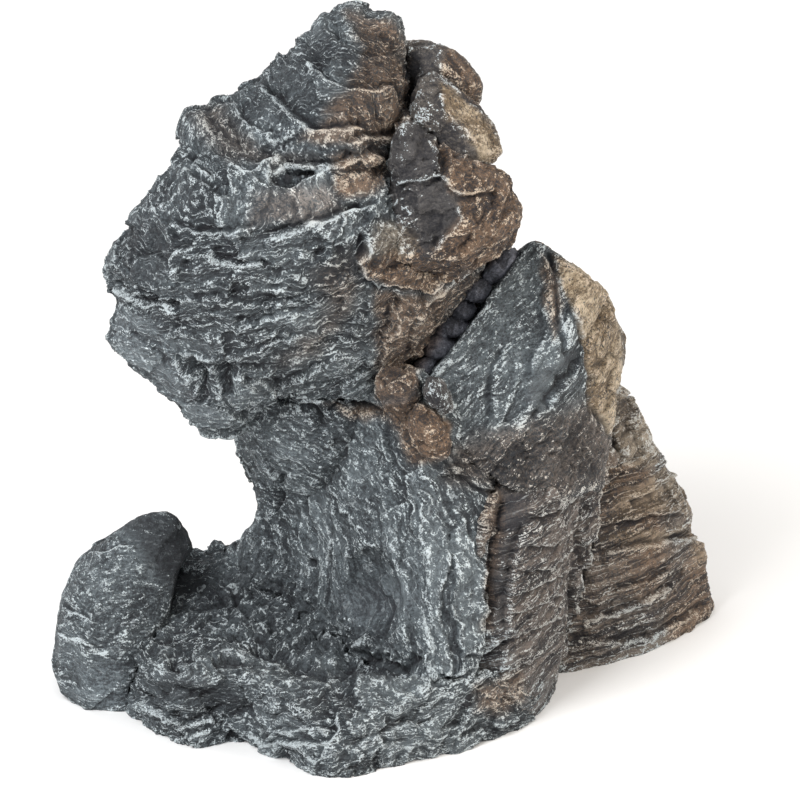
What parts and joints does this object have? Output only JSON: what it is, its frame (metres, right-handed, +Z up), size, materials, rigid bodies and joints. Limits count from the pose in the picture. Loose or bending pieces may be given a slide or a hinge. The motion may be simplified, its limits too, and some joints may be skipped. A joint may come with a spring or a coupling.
{
  "type": "resin cave ornament",
  "caption": "Hollow cast-resin rock outcrop for an aquarium or pond, with an overhanging head over a shallow basin, layered strata at one side and a cave open at the back.",
  "frame": {"origin": "middle of the underside of the bounding box, on the surface that the ornament stands on", "axes": "+Z up, +Y towards the back, +X to the right as seen from the front"},
  "size_m": [0.3, 0.1906, 0.3331],
  "materials": {
    "slate_resin": "painted cast resin, slate blue-grey with pale dry-brushed edges",
    "brown_resin": "painted cast resin, brown over slate grey with pale edges",
    "tan_resin": "painted cast resin, tan over slate grey with pale edges",
    "dark_resin": "painted cast resin, dark grey"
  },
  "bodies": {
    "root": {"peak_stone": "slate_resin", "head_stone": "slate_resin", "slab_top": "tan_resin", "slab_middle": "tan_resin", "shoulder_stone": "brown_resin", "wedge_stone": "slate_resin", "neck_stone": "slate_resin", "left_boulder": "slate_resin", "front_ledge": "slate_resin", "shoulder_rear": "tan_resin", "strata_front": "brown_resin", "strata_rear": "tan_resin", "keystone_low": "brown_resin", "keystone_high": "brown_resin", "keystone_right": "brown_resin", "crevice_pebble_1": "dark_resin", "crevice_pebble_2": "dark_resin", "crevice_pebble_3": "dark_resin", "crevice_pebble_4": "dark_resin", "crevice_pebble_5": "dark_resin", "crevice_pebble_6": "dark_resin", "rear_wall": "slate_resin"}
  },
  "joints": []
}
